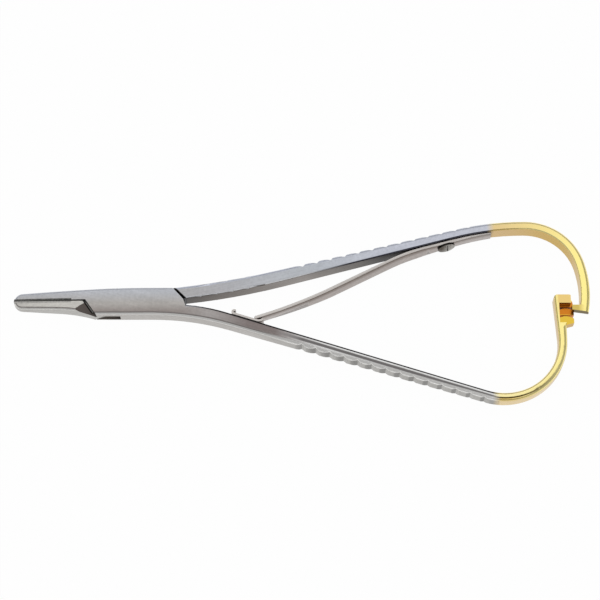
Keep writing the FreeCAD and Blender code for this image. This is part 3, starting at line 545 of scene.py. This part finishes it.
def makeCrossHalfSteel(look):
    material, tree, shader = newMetal("crossHalfSteel")
    grain = useGroup(tree, groundGrain, Turn=math.radians(look["turn"]))
    mask = useGroup(tree, faceMask)
    face = groundTone(tree, grain, colourAlong(tree, look["face"]), look["line"])
    inner = laid(tree, look["outerWall"], colourAlong(tree, look["innerWall"]), look["innerWallAt"])
    wall = laid(tree, look["jawWall"], inner, look["handleAt"])
    wall = groundTone(tree, grain, wall, look["line"])
    front = laid(tree, look["frontJaw"], look["frontHandle"], look["handleAt"])
    front = laid(tree, front, look["frontNearSpring"], look["frontNearSpringAt"])
    facet = mixColour(tree, grain.outputs["Cloud"], look["facet"], look["facetCloud"])
    steel = laid(tree, face, wall, mask.outputs["Wall"])
    steel = laid(tree, steel, front, mask.outputs["Front"])
    steel = laid(tree, steel, look["crease"], mask.outputs["Crease"], look["creaseAt"])
    steel = laid(tree, steel, look["rear"], mask.outputs["Rear"])
    steel = laid(tree, steel, facet, look["facetAt"])
    # Painted shade on the end walls and in lines beside the box and the facet.
    steel = laid(tree, steel, look["gap"], mask.outputs["Wall"], look["endsAt"])
    steel = laid(tree, steel, look["deepGapShade"], look["besideBoxAt"])
    steel = laid(tree, steel, look["deepGapShade"], look["besideFacetAt"])
    gold = makeProngPlating(tree, mask, makePlating(tree, mask, plateLook), prongLook)
    finishHalf(tree, shader, mask, grain, steel, gold, look["plateAt"], steelLook)
    return material


boxHalfSteel = makeBoxHalfSteel(boxHalfLook)
crossHalfSteel = makeCrossHalfSteel(crossHalfLook)

springLook = {
    "turn": -25.0,
    "line": 0.15,
    "light": (0.60, 0.57, 0.54),
    "dark": (0.44, 0.41, 0.39),
    # Painted shade: the wall is darker than the face and darkens towards its top.
    "wallLight": (0.40, 0.36, 0.34),
    "wallDark": (0.17, 0.135, 0.115),
    "wallDarkAt": [(past, zAxis, 2.6, 4.6)],
    # Painted shade on the front edges, with a painted highlight on them at the tail; painted highlight on
    # the rear edges.
    "front": (0.13, 0.10, 0.085),
    "tailFront": (0.66, 0.65, 0.63),
    "tailFrontAt": [(past, xAxis, 36.0, 46.0)],
    "rear": (0.60, 0.58, 0.56),
    "rough": 0.27,
    "roughCloud": 0.08,
    "bump": 0.06,
    "bumpDepth": 0.05,
}


def makeSpringSteel(look):
    material, tree, shader = newMetal("springSteel")
    grain = useGroup(tree, groundGrain, Turn=math.radians(look["turn"]))
    mask = useGroup(tree, faceMask)
    face = mixColour(tree, grain.outputs["Line"], look["dark"], look["light"])
    wall = laid(tree, look["wallLight"], look["wallDark"], look["wallDarkAt"])
    wall = groundTone(tree, grain, wall, look["line"])
    front = laid(tree, look["front"], look["tailFront"], look["tailFrontAt"])
    steel = laid(tree, face, wall, mask.outputs["Wall"])
    steel = laid(tree, steel, front, mask.outputs["Front"])
    feed(tree, shader, "Base Color", laid(tree, steel, look["rear"], mask.outputs["Rear"]))
    rough = mathNode(tree, "MULTIPLY_ADD", grain.outputs["Cloud"], look["roughCloud"], look["rough"])
    feed(tree, shader, "Roughness", rough)
    addBump(tree, shader, grain.outputs["Line"], look)
    return material


springSteel = makeSpringSteel(springLook)

# The screw's axis points out of the spring. Only its dome is bright; the slot and the rim are dark with
# painted shade. On the dome, painted shade gives way to a painted highlight between x = 41.6 and 43.6 mm.
screwAxis = (0.259, -0.966, 0.0)
screwLook = {
    "dark": (0.02, 0.018, 0.016),
    "domeAt": [(turned, screwAxis, 0.75, 0.9), (past, screwAxis, -10.0, -9.6)],
    "shade": (0.10, 0.085, 0.07),
    "light": (0.36, 0.345, 0.32),
    "lightAt": [(past, xAxis, 41.6, 43.6)],
    "fleckSpan": (0.55, 0.8, 0.0, 0.5),
    "rough": 0.3,
    "roughLine": 0.1,
}


def makeScrewSteel(look):
    material, tree, shader = newMetal("screwSteel")
    grain = useGroup(tree, groundGrain)
    dome = laid(tree, look["shade"], look["light"], look["lightAt"])
    dome = laid(tree, dome, look["shade"], ramp(tree, grain.outputs["Fleck"], *look["fleckSpan"]))
    feed(tree, shader, "Base Color", laid(tree, look["dark"], dome, look["domeAt"]))
    rough = mathNode(tree, "MULTIPLY_ADD", grain.outputs["Line"], look["roughLine"], look["rough"])
    feed(tree, shader, "Roughness", rough)
    return material


screwSteel = makeScrewSteel(screwLook)

carbideGrit = {"pitch": 2600.0, "span": (0.1, 0.7), "bump": 0.3, "bumpDepth": 0.05}
# Painted shade: the upper insert gets a much darker copy of the carbide than the lower one.
upperCarbideLook = {"light": (0.15, 0.148, 0.14), "dark": (0.05, 0.05, 0.048), "rough": 0.42}
lowerCarbideLook = {"light": (0.42, 0.41, 0.39), "dark": (0.28, 0.275, 0.26), "rough": 0.38}


def makeCarbide(name, look, form):
    material, tree, shader = newMetal(name)
    place = addNode(tree, "ShaderNodeTexCoord")
    speck = addNode(tree, "ShaderNodeTexVoronoi")
    feed(tree, speck, "Vector", place.outputs["Object"])
    feed(tree, speck, "Scale", form["pitch"])
    grit = ramp(tree, speck.outputs["Distance"], *form["span"])
    feed(tree, shader, "Base Color", mixColour(tree, grit, look["dark"], look["light"]))
    shader.inputs["Roughness"].default_value = look["rough"]
    addBump(tree, shader, grit, form)
    return material


upperCarbide = makeCarbide("upperCarbide", upperCarbideLook, carbideGrit)
lowerCarbide = makeCarbide("lowerCarbide", lowerCarbideLook, carbideGrit)


def setMaterial(item, material):
    item.data.materials.clear()
    item.data.materials.append(material)


def dressNode(node, material):
    item = cadNodes[node]
    if not item.material_slots:
        item.data.materials.append(material)
    for holder in item.material_slots:
        holder.material = material
    print(node, "triangles", countTriangles(item.data))


nodeMaterials = {
    "box_half": boxHalfSteel,
    "cross_half": crossHalfSteel,
    "pivot_pin": boxHalfSteel,
    "upper_jaw_insert": upperCarbide,
    "lower_jaw_insert": lowerCarbide,
    "spring_screw": screwSteel,
    "keeper_rivet": springSteel,
    "keeper_leaf": springSteel,
    "leaf_spring": springSteel,
}
for nodeName, nodeMaterial in nodeMaterials.items():
    dressNode(nodeName, nodeMaterial)
print("steel, plating and carbide given to the nodes")


# Round humps on the finger grips. The upper ones rise steeply on the jaw side and fall gently to the bow.
gripShape = {"pitch": 4.25, "valleys": 14, "low": -1.0, "high": 6.4, "weld": 1e-7, "crease": 38.0,
             "creaseAtSeam": 15.0}
upperGrip = {
    "name": "upperGripHalf",
    "node": "cross_half",
    "start": (-0.333, 14.270),
    "slope": 14.2,
    "side": 1.0,
    "profile": [(-2.5, 0.05), (-1.6, -0.18), (-0.6, -0.52), (0.1, -0.86), (0.4, -0.95), (0.75, -0.74),
                (1.2, -0.24), (1.65, 0.05), (1.65, 1.5), (-2.5, 1.5)],
}
lowerGrip = {
    "name": "lowerGripHalf",
    "node": "box_half",
    "start": (-0.333, -11.362),
    "slope": -17.05,
    "side": -1.0,
    "profile": [(-1.9, 0.06), (-1.3, -0.12), (-0.6, -0.40), (0.0, -0.82), (0.5, -0.62), (1.0, -0.30),
                (1.6, 0.06), (1.6, 1.5), (-1.9, 1.5)],
}


def makeValleyCutter(grip, shape):
    slope = math.radians(grip["slope"])
    along = Vector((math.cos(slope), math.sin(slope), 0.0))
    out = Vector((-math.sin(slope), math.cos(slope), 0.0)) * grip["side"]
    lift = Vector((0.0, 0.0, shape["high"] - shape["low"])) * mm
    form = bmesh.new()
    for valley in range(shape["valleys"]):
        middle = Vector((*grip["start"], 0.0)) + along * shape["pitch"] * valley
        spots = [middle + along * run + out * rise for run, rise in grip["profile"]]
        low = [form.verts.new((spot + Vector((0.0, 0.0, shape["low"]))) * mm) for spot in spots]
        raised = bmesh.ops.extrude_face_region(form, geom=[form.faces.new(low)])["geom"]
        top = [item for item in raised if isinstance(item, bmesh.types.BMVert)]
        bmesh.ops.translate(form, verts=top, vec=lift)
    bmesh.ops.recalc_face_normals(form, faces=form.faces)
    mesh = bpy.data.meshes.new("valleyCutter")
    form.to_mesh(mesh)
    form.free()
    return addObject("valleyCutter", mesh)


# The borders of the solid's faces, marked as seams, keep a sharper shade than the rest.
def markCreases(mesh, shape):
    form = bmesh.new()
    form.from_mesh(mesh)
    for edge in form.edges:
        limit = shape["creaseAtSeam"] if edge.seam else shape["crease"]
        edge.smooth = edge.calc_face_angle(0.0) < math.radians(limit)
        edge.seam = False
    for face in form.faces:
        face.smooth = True
    form.to_mesh(mesh)
    form.free()


def carveGrip(grip, shape, material):
    mesh = cadNodes[grip["node"]].data.copy()
    form = bmesh.new()
    form.from_mesh(mesh)
    for edge in form.edges:
        edge.seam = edge.is_boundary
    bmesh.ops.remove_doubles(form, verts=form.verts, dist=shape["weld"])
    form.to_mesh(mesh)
    form.free()
    half = addObject(grip["name"], mesh)
    cutter = makeValleyCutter(grip, shape)
    cut = half.modifiers.new("valleys", "BOOLEAN")
    cut.object = cutter
    cut.operation = "DIFFERENCE"
    cut.solver = "EXACT"
    ready = half.evaluated_get(bpy.context.evaluated_depsgraph_get())
    half.data = bpy.data.meshes.new_from_object(ready)
    half.modifiers.clear()
    bpy.data.objects.remove(cutter)
    markCreases(half.data, shape)
    level = half.modifiers.new("flatFaces", "WEIGHTED_NORMAL")
    level.keep_sharp = True
    setMaterial(half, material)
    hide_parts(grip["node"])
    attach(half, grip["node"])
    print(grip["name"], "triangles", countTriangles(half.data))


carveGrip(upperGrip, gripShape, crossHalfSteel)
carveGrip(lowerGrip, gripShape, boxHalfSteel)
print("finger grips carved")


# The leaf spring again with soft edges and cross lines along its length.
bladeShape = {
    "weld": 1e-6,
    "flatUpTo": 1.0,
    "softFrom": 50.0,
    "edge": 0.16,
    "edgeLines": 2,
    "edgeRound": 0.6,
    "sharpFrom": 40.0,
    "step": 1.5,
    "tail": (46.0, 56.4),
    "tailThin": 0.5,
    "wrapCentre": (66.37, -55.8),
    "wrapRadius": 81.2,
    "bellyRise": (-9.0, 8.0),
    "bellyFall": (34.0, 44.0),
    "bellySide": (0.41, -0.91, 0.0),
    "bellyLean": 0.45,
    "bellyLow": 0.6,
    "middle": 2.7,
    "top": 4.7,
    "height": 4.0,
    "bendFrom": (36.0, 19.0, 2.7),
    "bendTo": (-12.0, -2.0, 2.7),
}


def shareOf(value, start, end):
    return (value - start) / (end - start)


def softenEdges(form, shape):
    bmesh.ops.remove_doubles(form, verts=form.verts, dist=shape["weld"])
    bmesh.ops.dissolve_limit(form, angle_limit=math.radians(shape["flatUpTo"]), verts=form.verts,
                             edges=form.edges)
    limit = math.radians(shape["softFrom"])
    sharp = [edge for edge in form.edges if len(edge.link_faces) == 2 and edge.calc_face_angle(0.0) > limit]
    bmesh.ops.bevel(form, geom=sharp, offset=shape["edge"] * mm, segments=shape["edgeLines"],
                    profile=shape["edgeRound"], affect="EDGES", clamp_overlap=True)


def addCrossLines(form, shape):
    low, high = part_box("leaf_spring")
    place = low[0] + shape["step"] * mm
    while place < high[0]:
        everything = form.verts[:] + form.edges[:] + form.faces[:]
        bmesh.ops.bisect_plane(form, geom=everything, plane_co=(place, 0.0, 0.0), plane_no=xAxis)
        place += shape["step"] * mm


# Makes the tail thinner towards the handle that it lies on.
def thinTail(form, shape):
    centre = Vector((*shape["wrapCentre"], 0.0)) * mm
    for spot in form.verts:
        share = shareOf(spot.co.x / mm, *shape["tail"])
        if share > 0.0:
            out = Vector((spot.co.x - centre.x, spot.co.y - centre.y, 0.0))
            depth = shape["wrapRadius"] * mm - out.length
            spot.co += out.normalized() * depth * shape["tailThin"] * min(share, 1.0)


# Lets the middle reach lower and lean outwards a little.
def widenMiddle(form, shape):
    side = Vector(shape["bellySide"])
    fallStart, fallEnd = shape["bellyFall"]
    for spot in form.verts:
        place = spot.co.x / mm
        share = min(shareOf(place, *shape["bellyRise"]), shareOf(place, fallEnd, fallStart), 1.0)
        share = max(0.0, share)
        depth = (shape["top"] - spot.co.z / mm) / shape["height"]
        spot.co += side * max(0.0, spot.normal.dot(side)) * depth * shape["bellyLean"] * mm * share
        if spot.co.z < shape["middle"] * mm:
            spot.co.z -= shape["bellyLow"] * mm * share


def makeSpringBlade(shape):
    mesh = cadNodes["leaf_spring"].data.copy()
    mesh.name = "springBlade"
    form = bmesh.new()
    form.from_mesh(mesh)
    softenEdges(form, shape)
    addCrossLines(form, shape)
    thinTail(form, shape)
    form.normal_update()
    widenMiddle(form, shape)
    for face in form.faces:
        face.smooth = True
    form.to_mesh(mesh)
    form.free()
    blade = addObject("springBlade", mesh)
    mesh.set_sharp_from_angle(angle=math.radians(shape["sharpFrom"]))
    setMaterial(blade, springSteel)
    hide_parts("leaf_spring")
    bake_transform(blade)


makeSpringBlade(bladeShape)
print("leaf spring made")


# Pale table, soft lamps and an even white surround.
stageLook = {
    "white": (1.0, 1.0, 1.0),
    "floorSize": 3.0,
    "floorLow": -0.02,
    "floorColour": (0.92, 0.92, 0.92),
    "seenWhite": 0.98,
    "world": 0.42,
}
lampLook = {
    "softBoxBack": {"place": (-0.05, 0.42, 0.85), "size": (1.2, 0.8), "power": 2.0},
    "softBoxFront": {"place": (0.25, -0.60, 0.60), "size": (0.5, 0.4), "power": 0.5},
}


def makeFloor(look):
    half = look["floorSize"] / 2.0
    low = look["floorLow"] * mm
    corners = [(-half, -half, low), (half, -half, low), (half, half, low), (-half, half, low)]
    mesh = bpy.data.meshes.new("table")
    mesh.from_pydata(corners, [], [(0, 1, 2, 3)])
    floor = addObject("table", mesh)
    material = bpy.data.materials.new("paleTable")
    material.use_nodes = True
    tree = material.node_tree
    tree.nodes.clear()
    paper = addNode(tree, "ShaderNodeBsdfDiffuse")
    feed(tree, paper, "Color", look["floorColour"])
    white = addNode(tree, "ShaderNodeEmission")
    feed(tree, white, "Color", look["white"])
    feed(tree, white, "Strength", 1.0)
    path = addNode(tree, "ShaderNodeLightPath")
    seen = mathNode(tree, "MAXIMUM", path.outputs["Is Camera Ray"], path.outputs["Is Glossy Ray"])
    seen = mathNode(tree, "MAXIMUM", seen, path.outputs["Is Transmission Ray"])
    blend = addNode(tree, "ShaderNodeMixShader")
    feed(tree, blend, 0, mathNode(tree, "MULTIPLY", seen, look["seenWhite"]))
    feed(tree, blend, 1, paper.outputs[0])
    feed(tree, blend, 2, white.outputs[0])
    out = addNode(tree, "ShaderNodeOutputMaterial")
    feed(tree, out, "Surface", blend.outputs[0])
    setMaterial(floor, material)


def makeLamp(name, look):
    data = bpy.data.lights.new(name, "AREA")
    data.shape = "RECTANGLE"
    data.size, data.size_y = look["size"]
    data.energy = look["power"]
    lamp = addObject(name, data)
    lamp.location = look["place"]
    aim(lamp, -Vector(look["place"]))


def makeWorld(look):
    world = bpy.data.worlds.new("surround")
    bpy.context.scene.world = world
    world.use_nodes = True
    back = world.node_tree.nodes["Background"]
    back.inputs["Color"].default_value = (*look["white"], 1.0)
    back.inputs["Strength"].default_value = look["world"]


makeFloor(stageLook)
for lampName, lampValues in lampLook.items():
    makeLamp(lampName, lampValues)
makeWorld(stageLook)
bpy.context.scene.view_settings.view_transform = "Standard"
print("table and lamps placed")
